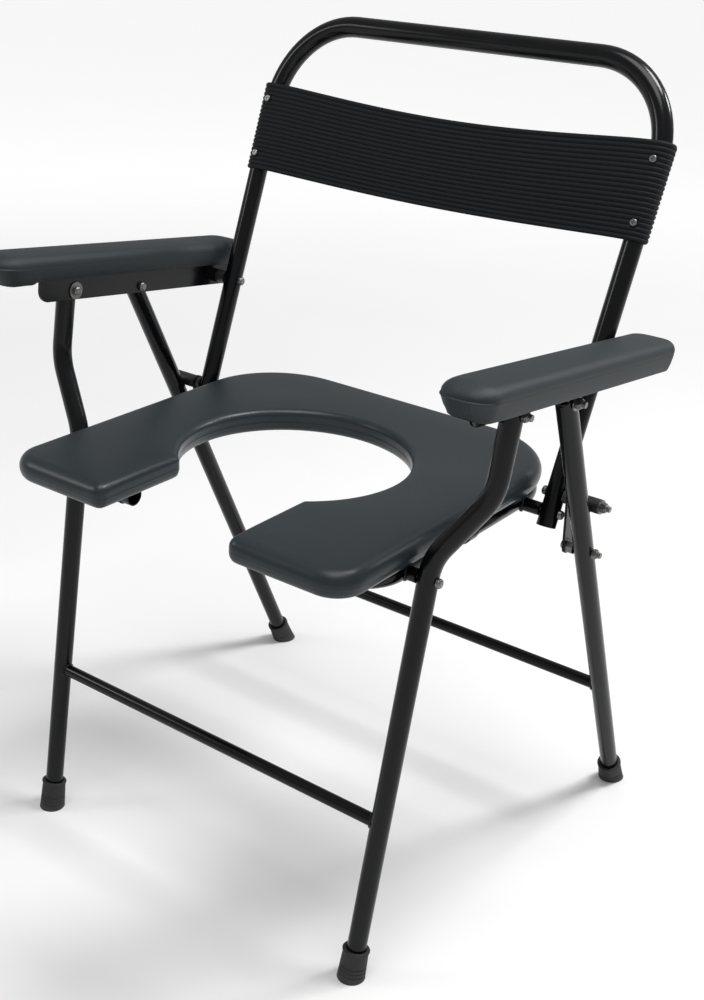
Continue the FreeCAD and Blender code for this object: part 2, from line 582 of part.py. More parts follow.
def rear_legs():
    """The rear leg frame: two straight tubes, a bar, rubber tips and the nuts of the link bolts."""
    top = REAR_TOP - REAR_DIR * (2 * TUBE_R)
    end = REAR_FOOT - REAR_DIR * TIP_FLOOR
    filled = rod(top, end, TUBE_R)
    low = (LINK_LOW.y, LINK_LOW.z)
    tube = filled.cut([rod(top, end, TUBE_R - TUBE_WALL), rounded_end(ARM_MID_PIVOT, ARM_LEG_X, -REAR_DIR),
                       across(ARM_LEG_X - 2 * TUBE_R, ARM_LEG_X + 2 * TUBE_R, ARM_MID_PIVOT, BOLT_R + RUN),
                       across(ARM_LEG_X - 2 * TUBE_R, ARM_LEG_X + 2 * TUBE_R, low, BOLT_R)])
    save("rear_leg_right", mirrored(tube))
    save("rear_leg_left", tube)
    y_bar = REAR_FOOT.y + REAR_DIR.y * CROSSBAR_Z / REAR_DIR.z
    save("rear_crossbar", crossbar(y_bar, filled))
    tip = foot_tip(REAR_FOOT, REAR_DIR)
    save("rear_tip_right", mirrored(tip))
    save("rear_tip_left", tip)
    inner, outer = ARM_LEG_X - TUBE_R, ARM_LEG_X + TUBE_R
    stud = across(inner, outer + NUT_H + THREAD_OUT, low, BOLT_R)
    save("link_bolt_shanks", both(stud))
    save("link_nuts", both(hex_nut(outer, outer + NUT_H, low).cut(stud)))


def link_group(label, place):
    """One flat link from the stop bolt to the rear leg, with the head end of its lower bolt."""
    low = (LINK_LOW.y, LINK_LOW.z)
    start, end = side(STOP, LINK_X), side(low, LINK_X)
    run = end - start
    bar = Part.makeBox(LINK_T, 2 * LINK_HALF, run.Length, Vector(0, -LINK_HALF, 0))
    bar.Placement = Placement(start, Rotation(X_AXIS, math.degrees(math.atan2(-run.y, run.z))))
    ends = [across(LINK_X, LINK_X + LINK_T, point, LINK_HALF) for point in (STOP, low)]
    pin_end = ARM_LEG_X - TUBE_R - GAP
    pin = fuse([dome_head(LINK_X, LINK_X - HEAD_H, low), across(LINK_X, pin_end, low, BOLT_R),
                across(LINK_X + LINK_T, pin_end, low, LUG_R)])
    plate = fuse([bar] + ends)
    plate = plate.cut([across(LINK_X - RUN, LINK_X + LINK_T + RUN, STOP, BOLT_R + RUN), pin])
    save("link_plate_" + label, place(plate))
    save("link_pin_" + label, place(pin))


def main():
    os.makedirs(PARTS, exist_ok=True)
    back_group()
    seat_group()
    front_legs()
    rear_legs()
    for label, place in (("left", Part.Shape.copy), ("right", mirrored)):
        arm_group(label, place)
        link_group(label, place)


main()
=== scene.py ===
"""The looks of a folding commode chair: pads, ribbed band, threads, welds, rubber tips and finishes."""

import json
import math

import bmesh
import bpy
import numpy as np
from bpy.props import FloatProperty, FloatVectorProperty, IntProperty, PointerProperty
from mathutils import Matrix, Vector
from mathutils.geometry import delaunay_2d_cdt


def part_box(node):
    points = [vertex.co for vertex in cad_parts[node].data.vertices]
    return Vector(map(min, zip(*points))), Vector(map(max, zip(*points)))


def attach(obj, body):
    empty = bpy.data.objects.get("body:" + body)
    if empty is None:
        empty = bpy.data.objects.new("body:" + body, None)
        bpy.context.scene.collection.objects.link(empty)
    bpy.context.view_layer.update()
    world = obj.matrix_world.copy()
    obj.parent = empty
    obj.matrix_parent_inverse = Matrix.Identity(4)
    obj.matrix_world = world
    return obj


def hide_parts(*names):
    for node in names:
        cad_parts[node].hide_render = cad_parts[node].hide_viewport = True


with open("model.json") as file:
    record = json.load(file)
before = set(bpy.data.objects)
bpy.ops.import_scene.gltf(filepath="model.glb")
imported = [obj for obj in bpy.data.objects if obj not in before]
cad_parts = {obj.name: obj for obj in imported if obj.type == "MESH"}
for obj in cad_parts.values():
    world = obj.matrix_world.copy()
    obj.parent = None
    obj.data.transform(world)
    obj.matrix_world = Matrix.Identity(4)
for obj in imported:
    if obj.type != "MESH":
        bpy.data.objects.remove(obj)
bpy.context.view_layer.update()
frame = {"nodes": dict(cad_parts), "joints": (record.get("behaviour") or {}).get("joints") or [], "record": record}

bl_info = {
    "name": "Folding commode chair",
    "version": (1, 0, 0),
    "blender": (4, 5, 0),
    "location": "3D View > Sidebar > Chair",
    "description": "Pads, band, threads, welds, tips and finishes of a folding commode chair",
    "category": "Object",
}

MM = 0.001
SHARP = math.radians(42)        # edges folded more than this stay sharp
PARTING_LINE = 0.14 * MM        # height of the line where the two halves of a mould met
EDGE_BAND = 6 * MM              # how far in from a pad's edge its finish changes
TIP_SIDES = 56
WHITE = (1.0, 1.0, 1.0)
SIDES = {"left": 1, "right": -1}
SLOTS = {part["node"]: part["material_slot"] for part in frame["record"]["subparts"]}
BODY_OF = {node: body for body, nodes in frame["record"]["behaviour"]["bodies"].items() for node in nodes}
FEET = {mount["name"]: Vector(mount["pos_m"]) for mount in frame["record"]["mounts"]}
FINISH = {}


# ---- places read from the frame ----
def pivot(joint):
    """A joint's place in the side view, on the centre plane."""
    place = next(j["pos_m"] for j in frame["joints"] if j["name"] == joint)
    return Vector((0, place[1], place[2]))


def points_of(node, side=0):
    """A node's vertices, or only those on one side of the centre plane."""
    places = np.array([v.co for v in frame["nodes"][node].data.vertices])
    return places[places[:, 0] * side > 0] if side else places


def middle(node, side=0):
    """The middle of a node's box, or of its half on one side."""
    places = points_of(node, side)
    return Vector((places.min(0) + places.max(0)) / 2)


def slope(origin, up):
    """A frame in the side view's plane: X stays, the second axis runs to the rear, the third along up."""
    up = up.normalized()
    made = Matrix((Vector((1, 0, 0)), Vector((0, up.z, -up.y)), up)).transposed().to_4x4()
    made.translation = origin
    return made


def carried(places, matrix):
    """Points taken through a matrix."""
    turned = np.array(matrix)
    return places @ turned[:3, :3].T + turned[:3, 3]


def box_on(node, place):
    """A node's lowest and highest corners in the axes of a sloped frame."""
    places = carried(points_of(node), place.inverted())
    return places.min(0), places.max(0)


def legs():
    """Each leg: front or rear, left or right, its side's sign, its foot and its crossbar's middle."""
    for end in ("front", "rear"):
        for label, side in SIDES.items():
            yield end, label, side, FEET["foot_{}_{}".format(end, label)], middle(end + "_crossbar")


TUBE_R = (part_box("rear_leg_left")[1].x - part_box("rear_leg_left")[0].x) / 2
BAR_R = (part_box("front_crossbar")[1].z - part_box("front_crossbar")[0].z) / 2
BACK = slope(pivot("seat_fold"), pivot("arm_left_fold") - pivot("seat_fold"))
UPRIGHT_X = abs(next(j["pos_m"][0] for j in frame["joints"] if j["name"] == "arm_left_fold"))
FRONT_PIVOT = middle("front_arm_bolts")
ARM_RUN = (pivot("arm_left_fold") - FRONT_PIVOT).normalized()
ARM = slope(pivot("arm_left_fold"), Vector((0, -ARM_RUN.z, ARM_RUN.y)))


# ---- sizes and colours that a user would change ----
def metres(name, default, description):
    return FloatProperty(name=name, description=description, default=default, unit="LENGTH")


def degrees(name, default, description):
    return FloatProperty(name=name, description=description, default=math.radians(default), subtype="ANGLE")


def tint(name, default, description):
    return FloatVectorProperty(name=name, description=description, default=default, subtype="COLOR",
                               min=0, max=1)


class SeatPadSizes(bpy.types.PropertyGroup):
    """The moulded seat pad."""
    hole_radius: metres("Hole radius", 0.129, "Radius of the round opening")
    hole_from_front: metres("Hole from front", 0.222, "From the seat's front edge to the hole's centre")
    gap_half: metres("Gap half width", 0.084, "Half the width of the front gap")
    gap_corner: metres("Gap corner", 0.011, "Plan radius at the gap's front corners")
    front_corner: metres("Front corner", 0.036, "Plan radius at the front outer corners")
    rear_corner: metres("Rear corner", 0.108, "Plan radius at the rear corners")
    outer_round: metres("Outer rounding", 0.0140, "Rounding of the outer top edge")
    inner_round: metres("Inner rounding", 0.0075, "Rounding of the top edge at the hole and gap")
    tuck_in: metres("Tuck in", 0.0085, "How far in the foot of the side stands")
    tuck_up: metres("Tuck up", 0.0120, "How high the side's curve out from its foot ends")
    crown: metres("Crown", 0.0022, "How far the top falls from its middle to its edges")
    crown_reach: metres("Crown reach", 0.055, "Distance from the edge over which the top falls")


class ArmPadSizes(bpy.types.PropertyGroup):
    """The moulded armrest pads."""
    rear_corner: metres("Rear corner", 0.0205, "Plan radius at the rear end")
    front_corner: metres("Front corner", 0.0235, "Plan radius at the front end")
    top_round: metres("Top rounding", 0.0085, "Rounding of the top edge")
    nose_fall: metres("Nose fall", 0.011, "How much further the front end's top rolls over")
    skirt: metres("Skirt", 0.0035, "How far the sides hang below the bracket's top")
    nose_drop: metres("Nose drop", 0.0010, "How much further the front end hangs")
    nose_under: metres("Nose undercut", 0.0125, "How much further in the front end's foot stands")
    draft: metres("Draft", 0.0026, "How far the foot of the side stands in from the parting line")
    crown: metres("Crown", 0.0026, "How far the top falls from its middle to its edges")
    flash: metres("Moulding flash", 0.0018, "Height of the parting line's flash round the front end")


class BandSizes(bpy.types.PropertyGroup):
    """The ribbed band across the back."""
    ribs: IntProperty(name="Ribs", description="Number of ribs across the band's height", default=20, min=1)
    rib_height: metres("Rib height", 0.0014, "How far a rib stands out of each face")
    web: metres("Web", 0.0012, "Thickness of the band between its ribs")
    tail: metres("Tail", 0.030, "How far the band runs in again behind each upright")
    trim: metres("Tail trim", 0.004, "How much narrower each edge of a tail is")
    bow: metres("Bow", 0.007, "How far the middle stands to the rear")
    sag_top: metres("Top edge sag", 0.010, "Sag of the top edge at the middle")
    sag_low: metres("Low edge sag", 0.005, "Sag of the low edge at the middle")


class FixingSizes(bpy.types.PropertyGroup):
    """Threads, weld beads and rubber tips."""
    thread_pitch: metres("Thread pitch", 0.001, "Pitch of the bolts' threads")
    thread_ridge: metres("Thread ridge", 0.0005, "Height of the thread's ridge")
    bead_size: metres("Weld bead", 0.0019, "Radius of a weld's ripples")
    bead_count: IntProperty(name="Weld ripples", description="Ripples round a weld", default=26, min=3)
    tip_groove: metres("Tip groove", 0.0008, "Depth of the grooves round a rubber tip")


class FinishColours(bpy.types.PropertyGroup):
    """Base colours of the finishes."""
    enamel: tint("Frame enamel", (0.0020, 0.0022, 0.0028), "Powder coat on the tubes")
    pad: tint("Pads", (0.0125, 0.0178, 0.0205), "Moulded skin of the seat and arms")
    band: tint("Band", (0.0022, 0.0036, 0.0046), "Ribbed rubberised band")
    rubber: tint("Tips", (0.0125, 0.0125, 0.0135), "Rubber of the leg tips")
    sleeve: tint("Sleeves", (0.012, 0.012, 0.013), "Plastic sleeves and spacers")
    board: tint("Board", (0.024, 0.020, 0.017), "Stained board under the seat")
    zinc: tint("Fixings", (0.20, 0.20, 0.195), "Zinc plate of bolts and nuts")


class StageSizes(bpy.types.PropertyGroup):
    """Camera, floor and light."""
    camera_place: FloatVectorProperty(name="Camera", description="Where the camera stands",
                                      default=(0.8201, -1.1956, 1.0556), subtype="TRANSLATION")
    azimuth: degrees("Azimuth", 37.20, "Turn of the view from straight behind the front")
    elevation: degrees("Elevation", 31.30, "How far the camera looks down")
    roll: degrees("Roll", 2.49, "Tilt of the camera about its own line of sight")
    lens: FloatProperty(name="Lens", description="Focal length in mm on a 36 mm long side", default=47.5)
    shift_x: FloatProperty(name="Shift across", description="Sideways shift of the lens", default=0.080)
    shift_y: FloatProperty(name="Shift up", description="Upward shift of the lens", default=0.175)
    floor_half: metres("Floor", 26.0, "Half the floor's side")
    sky: FloatProperty(name="Room light", description="Strength of the even light all round", default=0.42)


GROUPS = {"chair_seat": SeatPadSizes, "chair_arms": ArmPadSizes, "chair_band": BandSizes,
          "chair_fixings": FixingSizes, "chair_colours": FinishColours, "chair_stage": StageSizes}


# ---- node trees written as expressions ----
class Wire:
    """A socket in a node tree, which Python's operators work on."""

    def __init__(self, graph, socket):
        self.graph = graph
        self.socket = socket

    def math(self, operation, *others):
        return self.graph.node("ShaderNodeMath", {"operation": operation}, dict(enumerate((self, *others))))

    def __add__(self, other):
        return self.math("ADD", other)

    def __sub__(self, other):
        return self.math("SUBTRACT", other)

    def __mul__(self, other):
        return self.math("MULTIPLY", other)

    def __rsub__(self, other):
        return self.graph.node("ShaderNodeMath", {"operation": "SUBTRACT"}, {0: other, 1: self})

    def __pow__(self, other):
        return self.math("POWER", other)

    __radd__ = __add__
    __rmul__ = __mul__

    def fade(self, low, high):
        """0 up to low, 1 from high, smooth between."""
        return self.graph.node("ShaderNodeMapRange", {"interpolation_type": "SMOOTHSTEP"},
                               {"Value": self, "From Min": low, "From Max": high})


class Graph:
    """A node tree under construction."""

    def __init__(self, tree):
        self.tree = tree

    def node(self, kind, settings=None, sockets=None, out=0):
        """A node of that type: its settings are set first, then its sockets' values or links."""
        made = self.tree.nodes.new(kind)
        for key, value in (settings or {}).items():
            setattr(made, key, value)
        for key, value in (sockets or {}).items():
            if isinstance(value, Wire):
                self.tree.links.new(value.socket, made.inputs[key])
            else:
                made.inputs[key].default_value = value
        return Wire(self, made.outputs[out]) if len(made.outputs) else made


class Paint(Graph):
    """A material's nodes."""

    def __init__(self, name):
        self.material = bpy.data.materials.new(name)
        self.material.use_nodes = True
        self.material.node_tree.nodes.clear()
        super().__init__(self.material.node_tree)
        self.place = self.node("ShaderNodeTexCoord", out="Object")

    def stretched(self, scale):
        """The piece's own coordinates, stretched along its axes."""
        return self.node("ShaderNodeMapping", sockets={"Vector": self.place, "Scale": scale})

    def noise(self, scale, detail=2.0, place=None):
        return self.node("ShaderNodeTexNoise", sockets={"Vector": place or self.place, "Scale": scale,
                                                        "Detail": detail})

    def cells(self, scale):
        return self.node("ShaderNodeTexVoronoi", {"feature": "SMOOTH_F1"},
                         {"Vector": self.place, "Scale": scale, "Smoothness": 0.6})

    def attribute(self, name):
        return self.node("ShaderNodeAttribute", {"attribute_name": name}, out="Fac")

    def blend(self, amount, first, second):
        """Two colours mixed."""
        return self.node("ShaderNodeMix", {"data_type": "RGBA"}, {0: amount, 6: first, 7: second}, out=2)

    def shades(self, amount, colour, low, high):
        """One colour between two strengths of itself."""
        return self.blend(amount, shade(colour, low), shade(colour, high))

    def bump(self, height, distance, strength=1.0):
        return self.node("ShaderNodeBump", sockets={"Strength": strength, "Distance": distance,
                                                    "Height": height})

    def finish(self, sockets):
        """The shader itself, and the material."""
        shader = self.node("ShaderNodeBsdfPrincipled", sockets=sockets)
        self.node("ShaderNodeOutputMaterial", sockets={"Surface": shader})
        return self.material


def shade(colour, factor):
    """A colour made lighter or darker, with its alpha."""
    return tuple(channel * factor for channel in colour) + (1.0,)


# ---- finishes ----
def enamel(colour):
    """Black powder coat: fine orange peel, uneven gloss, faint rubbed patches."""
    paint = Paint("black_enamel")
    peel = paint.noise(950.0, 1.0)
    cloud = paint.noise(24.0, 3.0)
    rubbed = paint.noise(70.0, 6.0).fade(0.66, 0.74) * paint.noise(9.0).fade(0.50, 0.62)
    base = paint.shades(cloud, colour, 0.8, 1.35)
    return paint.finish({
        "Base Color": paint.blend(rubbed * 0.5, base, shade(colour, 3.5)),
        "Roughness": 0.13 + cloud * 0.11 + rubbed * 0.2,
        "Normal": paint.bump(peel * 0.7 + cloud * 0.3, 0.00005, 0.4),
        "Specular IOR Level": 0.24})


def moulded_skin(colour):
    """Integral-skin foam: fine leather-like stipple, slight clouding, smoother edges painted lighter (partly
    rubbed wear, partly a painted highlight), duller where matt.
    """
    paint = Paint("moulded_pad")
    stipple = paint.cells(820.0)
    grain = paint.noise(2300.0, 2.0)
    cloud = paint.noise(11.0, 4.0)
    scuff = paint.noise(46.0, 7.0, paint.stretched((1.0, 5.0, 1.0))).fade(0.63, 0.75)
    matt = paint.attribute("matt")
    edge = paint.attribute("edge") * (1.0 - matt * 0.8)
    base = paint.shades(cloud, colour, 0.82, 1.22)
    # The edges are painted lighter: partly rubbed wear, partly a painted highlight.
    worn_and_highlit = paint.blend(edge * 0.35, base, shade(colour, 1.7))
    relief = (stipple * 0.75 + grain * 0.25) * (1.0 - edge * 0.6) * (1.0 + matt * 0.6)
    return paint.finish({
        "Base Color": paint.blend(scuff * 0.22, worn_and_highlit, shade(colour, 2.2)),
        "Roughness": 0.37 + cloud * 0.09 - edge * 0.12 + scuff * 0.08 + matt * 0.16,
        "Normal": paint.bump(relief, 0.00022, 0.55),
        "Specular IOR Level": 0.30})


def ribbed_rubber(colour):
    """Rubberised cord band: matt, with the fine cross weave of its cords, and painted shade darkening its grooves.
    """
    paint = Paint("ribbed_band")
    weave = paint.node("ShaderNodeTexWave", {"bands_direction": "X"},
                       {"Vector": paint.place, "Scale": 420.0, "Distortion": 1.6, "Detail": 1.0})
    fine = paint.noise(1700.0, 3.0)
    cloud = paint.noise(18.0, 3.0)
    groove = paint.attribute("groove")
    base = paint.shades(cloud, colour, 0.75, 1.3)
    # Painted shade: the base colour is darkened in the grooves between the ribs.
    return paint.finish({
        "Base Color": paint.blend(groove * 0.5, base, shade(colour, 0.35)),
        "Roughness": 0.50 + cloud * 0.12 + groove * 0.2,
        "Normal": paint.bump(weave * 0.5 + fine * 0.5, 0.00016, 0.6), "Specular IOR Level": 0.20})


def tip_rubber(colour):
    """Moulded rubber: matt, dusty towards the floor."""
    paint = Paint("tip_rubber")
    height = paint.node("ShaderNodeSeparateXYZ", sockets={"Vector": paint.place}, out="Z")
    cloud = paint.noise(60.0, 4.0)
    dust = (1.0 - height.fade(0.001, 0.016)) * cloud.fade(0.3, 0.7)
    return paint.finish({
        "Base Color": paint.shades(dust * 0.6, colour, 1.0, 4.2),
        "Roughness": 0.60 + cloud * 0.16,
        "Normal": paint.bump(paint.noise(900.0, 3.0), 0.00012, 0.6)})


def sleeve_plastic(colour):
    """Extruded plastic tube: faint lines along its length."""
    paint = Paint("sleeve_plastic")
    lines = paint.noise(800.0, 2.0, paint.stretched((0.05, 1.0, 1.0)))
    return paint.finish({
        "Base Color": paint.shades(lines, colour, 0.8, 1.4),
        "Roughness": 0.40 + lines * 0.15,
        "Normal": paint.bump(lines, 0.00008, 0.5)})


def stained_board(colour):
    """Black-stained plywood: grain along the seat's width, pores, dull."""
    paint = Paint("board")
    grain = paint.noise(160.0, 6.0, paint.stretched((0.06, 1.0, 1.0)))
    pores = paint.noise(900.0, 2.0, paint.stretched((0.1, 1.0, 1.0))).fade(0.58, 0.7)
    return paint.finish({
        "Base Color": paint.shades(grain, colour, 0.5, 1.8),
        "Roughness": 0.62 + pores * 0.2,
        "Normal": paint.bump(grain - pores * 0.6, 0.0002, 0.6)})


def zinc_plate(colour):
    """Bright zinc, a little dulled: cloudy gloss and dark specks in the corners of the plating."""
    paint = Paint("zinc")
    cloud = paint.noise(260.0, 4.0)
    specks = paint.noise(1500.0, 5.0).fade(0.60, 0.72)
    base = paint.shades(cloud, colour, 0.72, 1.25)
    return paint.finish({
        "Base Color": paint.blend(specks * 0.7, base, shade(colour, 0.28)),
        "Roughness": 0.27 + cloud * 0.2 + specks * 0.15,
        "Metallic": 1.0,
        "Normal": paint.bump(cloud, 0.00008, 0.5)})


MAKERS = {"black_enamel": ("enamel", enamel), "moulded_pad": ("pad", moulded_skin),
          "ribbed_band": ("band", ribbed_rubber), "tip_rubber": ("rubber", tip_rubber),
          "sleeve_plastic": ("sleeve", sleeve_plastic), "board": ("board", stained_board),
          "zinc": ("zinc", zinc_plate)}


# ---- plan outlines ----
def rounded_run(corners, radii, step):
    """Points along straight runs with an arc at each inner corner."""
    path = [np.array(corners[0])]
    for before, corner, after, radius in zip(corners, corners[1:], corners[2:], radii):
        corner = np.array(corner)
        back, on = np.array(before) - corner, np.array(after) - corner
        back, on = back / np.linalg.norm(back), on / np.linalg.norm(on)
        half = math.acos(np.clip(back @ on, -1, 1)) / 2
        inward = (back + on) / np.linalg.norm(back + on)
        centre = corner + inward * radius / math.sin(half)
        start = corner + back * radius / math.tan(half) - centre
        end = corner + on * radius / math.tan(half) - centre
        sweep = math.pi - 2 * half
        count = max(2, int(radius * sweep / step))
        for k in range(count + 1):
            share = k / count
            path.append(centre + (start * math.sin((1 - share) * sweep) + end * math.sin(share * sweep))
                        / math.sin(sweep))
    path.append(np.array(corners[-1]))
    return np.array(path)


def even(loop, step):
    """A closed loop's points spread evenly."""
    closed = np.vstack((loop, loop[:1]))
    length = np.concatenate(([0], np.cumsum(np.linalg.norm(np.diff(closed, axis=0), axis=1))))
    at = np.linspace(0, length[-1], int(length[-1] / step), endpoint=False)
    return np.stack([np.interp(at, length, closed[:, axis]) for axis in (0, 1)], axis=1)


def softened(loop, width, step):
    """A closed loop with its corners eased over about that width, its points spread evenly."""
    loop = even(loop, MM)
    for _ in range(int(2 * (width / MM) ** 2)):
        loop = (np.roll(loop, 1, 0) + 2 * loop + np.roll(loop, -1, 0)) / 4
    return even(loop, step)


def inward_of(loop):
    """Unit vectors from a counter-clockwise loop's points to its inside."""
    along = np.roll(loop, -1, 0) - np.roll(loop, 1, 0)
    along /= np.linalg.norm(along, axis=1)[:, None]
    return np.stack((-along[:, 1], along[:, 0]), axis=1)


def edge_distance(places, loop):
    """Distance from each plan point to a closed loop."""
    nearest = np.full(len(places), np.inf)
    for a, d in zip(loop, np.roll(loop, -1, 0) - loop):
        share = np.clip(((places - a) @ d) / (d @ d), 0, 1)
        nearest = np.minimum(nearest, np.linalg.norm(places - a - share[:, None] * d, axis=1))
    return nearest


def inside(places, loop):
    """Which plan points lie inside a closed loop."""
    within = np.zeros(len(places), bool)
    for a, b in zip(loop, np.roll(loop, -1, 0)):
        if a[1] != b[1]:
            crosses = (a[1] > places[:, 1]) != (b[1] > places[:, 1])
            within ^= crosses & (places[:, 0] < (b[0] - a[0]) * (places[:, 1] - a[1]) / (b[1] - a[1]) + a[0])
    return within


def fill(ring, outline, insets, step):
    """Plan points and triangles that fill a ring: itself, then rings further in, then a grid."""
    low, high = ring.min(0), ring.max(0)
    rows = np.arange(low[1], high[1], step * math.sqrt(0.75))
    grid = np.array([(x + (k % 2) * step / 2, y) for k, y in enumerate(rows)
                     for x in np.arange(low[0], high[0], step)])
    inward, free = inward_of(outline), []
    for inset in insets:
        places = (outline + inward * inset)[::2]
        free.append(places[edge_distance(places, outline) > inset - 0.3 * MM])
    free.append(grid[edge_distance(grid, outline) > max(insets, default=0) + step / 2])
    free = np.vstack(free)
    free = free[inside(free, ring)]
    places = np.vstack((ring, free[edge_distance(free, ring) > 1.2 * MM]))
    found = delaunay_2d_cdt([Vector(p) for p in places], [], [list(range(len(ring)))], 0, 1e-7, True)
    faces = np.array([[found[3][v][0] for v in face] for face in found[2]])
    return places, faces[inside(places[faces].mean(axis=1), ring)].tolist()


# ---- mesh objects ----
def new_object(name, places, edges=(), faces=()):
    """A mesh object in the scene."""
    mesh = bpy.data.meshes.new(name)
    mesh.from_pydata([tuple(p) for p in places], list(edges), [tuple(f) for f in faces])
    obj = bpy.data.objects.new(name, mesh)
    bpy.context.scene.collection.objects.link(obj)
    return obj


def piece(name, places, faces, node):
    """What stands in for a CAD node, in its finish: facing outwards, smooth except at sharp edges."""
    obj = new_object(name, places, faces=faces)
    tidy(obj)
    place_on(obj, SLOTS[node], BODY_OF[node])
    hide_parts(node)
    return obj


def tidy(obj):
    """Faces outwards and smooth, with sharp edges kept."""
    mesh = bmesh.new()
    mesh.from_mesh(obj.data)
    bmesh.ops.recalc_face_normals(mesh, faces=mesh.faces)
    for face in mesh.faces:
        face.smooth = True
    for line in mesh.edges:
        line.smooth = len(line.link_faces) == 2 and line.calc_face_angle(0) < SHARP
    mesh.to_mesh(obj.data)
    mesh.free()


def place_on(obj, slot, body):
    """Finish, slot and body of a new piece."""
    obj.data.materials.clear()
    obj.data.materials.append(FINISH[slot])
    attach(obj, body)


def store(obj, name, values):
    """A number on each vertex, for the finish to read."""
    layer = obj.data.attributes.new(name, "FLOAT", "POINT")
    layer.data.foreach_set("value", np.asarray(values, np.float32))


def moulded(name, node, outline, rows, top, insets, step, place, matt=0.0):
    """A moulded solid: rows of (inset, height) up its side, flat beneath, its top's height from top()."""
    count = len(outline)
    inward = inward_of(outline)
    loops, heights, depth = [], [], []
    for inset, height in rows:
        inset = np.broadcast_to(inset, count)
        loops.append(outline + inward * inset[:, None])
        heights.append(np.broadcast_to(height, count))
        depth.append(inset)
    faces = [(r * count + k, r * count + on, (r + 1) * count + on, (r + 1) * count + k)
             for r in range(len(rows) - 1) for k in range(count) for on in [(k + 1) % count]]
    plan, level, deep = np.vstack(loops), np.concatenate(heights), np.concatenate(depth)

    under, triangles = fill(loops[0], outline, (), 4 * step)
    base = len(plan)
    faces += [[v if v < count else base + v - count for v in reversed(t)] for t in triangles]
    plan = np.vstack((plan, under[count:]))
    level = np.concatenate((level, np.full(len(under) - count, level[0])))
    deep = np.concatenate((deep, np.full(len(under) - count, 1.0)))

    upper, triangles = fill(loops[-1], outline, insets, step)
    first, base = (len(rows) - 1) * count, len(plan)
    faces += [[first + v if v < count else base + v - count for v in t] for t in triangles]
    far = edge_distance(upper[count:], outline)
    plan = np.vstack((plan, upper[count:]))
    level = np.concatenate((level, top(far)))
    deep = np.concatenate((deep, far))

    places = carried(np.column_stack((plan, level)), place)
    obj = piece(name, places, faces, node)
    # Nearness to the edge: the pad finish paints it lighter, partly as wear and partly as a painted highlight.
    store(obj, "edge", np.exp(-(deep / EDGE_BAND) ** 2))
    store(obj, "matt", np.full(len(places), matt))
    return obj


def crowned(distance, crown, reach):
    """How far a crowned top lies below its middle at a distance from its edge."""
    share = np.clip(np.asarray(distance) / reach, 0, 1)
    return crown * (1 - share) ** 2


def tucked(across, foot, up, count):
    """Rows that curve a side out from its foot, with a fine parting line at the end."""
    turns = [math.pi / 2 * k / count for k in range(1, count)]
    rows = [(across * (1 - math.sin(turn)), foot + up * (1 - math.cos(turn))) for turn in turns]
    line, end = PARTING_LINE, foot + up
    return rows + [(0.0, end - 2 * line), (-line / 2, end - line), (-line / 2, end), (0.0, end + line)]


def rolled(across, side, top, crown, reach, count):
    """Rows that roll a side over, from its upper end, into a crowned top that far in."""
    rows = []
    for k in range(count + 1):
        turn = math.pi / 2 * k / count
        inset = across * (1 - math.cos(turn))
        rows.append((inset, side + (top - crowned(inset, crown, reach) - side) * math.sin(turn)))
    return rows


def seat_outline(sizes, low, high):
    """The seat's plan: wide rear corners, round hole, gap open to the front, counter-clockwise."""
    hole_y = low.y + sizes.hole_from_front
    mouth = math.acos(sizes.gap_half / sizes.hole_radius)
    angles = np.linspace(math.pi / 2, -mouth, 120)
    hole = np.stack((sizes.hole_radius * np.cos(angles), hole_y + sizes.hole_radius * np.sin(angles)), axis=1)
    run = rounded_run([tuple(hole[-1]), (sizes.gap_half, low.y), (high.x, low.y), (high.x, high.y),
                       (0, high.y)],
                      [sizes.gap_corner, sizes.front_corner, sizes.rear_corner], MM)
    half = np.vstack((hole, run[1:]))
    return np.vstack((half, (half * (-1, 1))[::-1][1:-1]))


# ---- operators ----
class CHAIR_OT_finishes(bpy.types.Operator):
    """Make the finishes and give each CAD piece its own"""
    bl_idname = "chair.finishes"
    bl_label = "Finishes"

    def execute(self, context):
        for slot, (colour, maker) in MAKERS.items():
            FINISH[slot] = maker(getattr(context.scene.chair_colours, colour))
        for node, obj in frame["nodes"].items():
            obj.data.materials.clear()
            obj.data.materials.append(FINISH[SLOTS[node]])
        return {"FINISHED"}


class CHAIR_OT_seat_pad(bpy.types.Operator):
    """Mould the seat pad"""
    bl_idname = "chair.seat_pad"
    bl_label = "Seat pad"

    def execute(self, context):
        sizes = context.scene.chair_seat
        low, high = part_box("seat_pad")
        outline = softened(seat_outline(sizes, low, high), 2.4 * MM, 3.2 * MM)
        hole_centre = np.array((0, low.y + sizes.hole_from_front))
        near_hole = np.linalg.norm(outline - hole_centre, axis=1) < sizes.hole_radius + 6 * MM
        in_gap = (abs(outline[:, 0]) < sizes.gap_half + 6 * MM) & (outline[:, 1] < hole_centre[1])
        inner = (near_hole | in_gap).astype(float)
        for _ in range(60):
            inner = (np.roll(inner, 1) + inner + np.roll(inner, -1)) / 3
        radius = sizes.outer_round + (sizes.inner_round - sizes.outer_round) * inner
        side = high.z - radius - crowned(0, sizes.crown, sizes.crown_reach)
        rows = [(9.2 * MM, low.z + 6.2 * MM), (9.2 * MM, low.z + 0.3 * MM), (8.8 * MM, low.z)]
        rows += tucked(sizes.tuck_in, low.z, sizes.tuck_up, 8)
        rows += [(0.0, low.z + sizes.tuck_up + (side - low.z - sizes.tuck_up) * 0.5)]
        rows += rolled(radius, side, high.z, sizes.crown, sizes.crown_reach, 9)
        moulded("seat_cushion", "seat_pad", outline, rows,
                lambda far: high.z - crowned(far, sizes.crown, sizes.crown_reach),
                [sizes.outer_round + extra * MM for extra in (2, 5, 9, 14)], 7 * MM, Matrix())
        return {"FINISHED"}


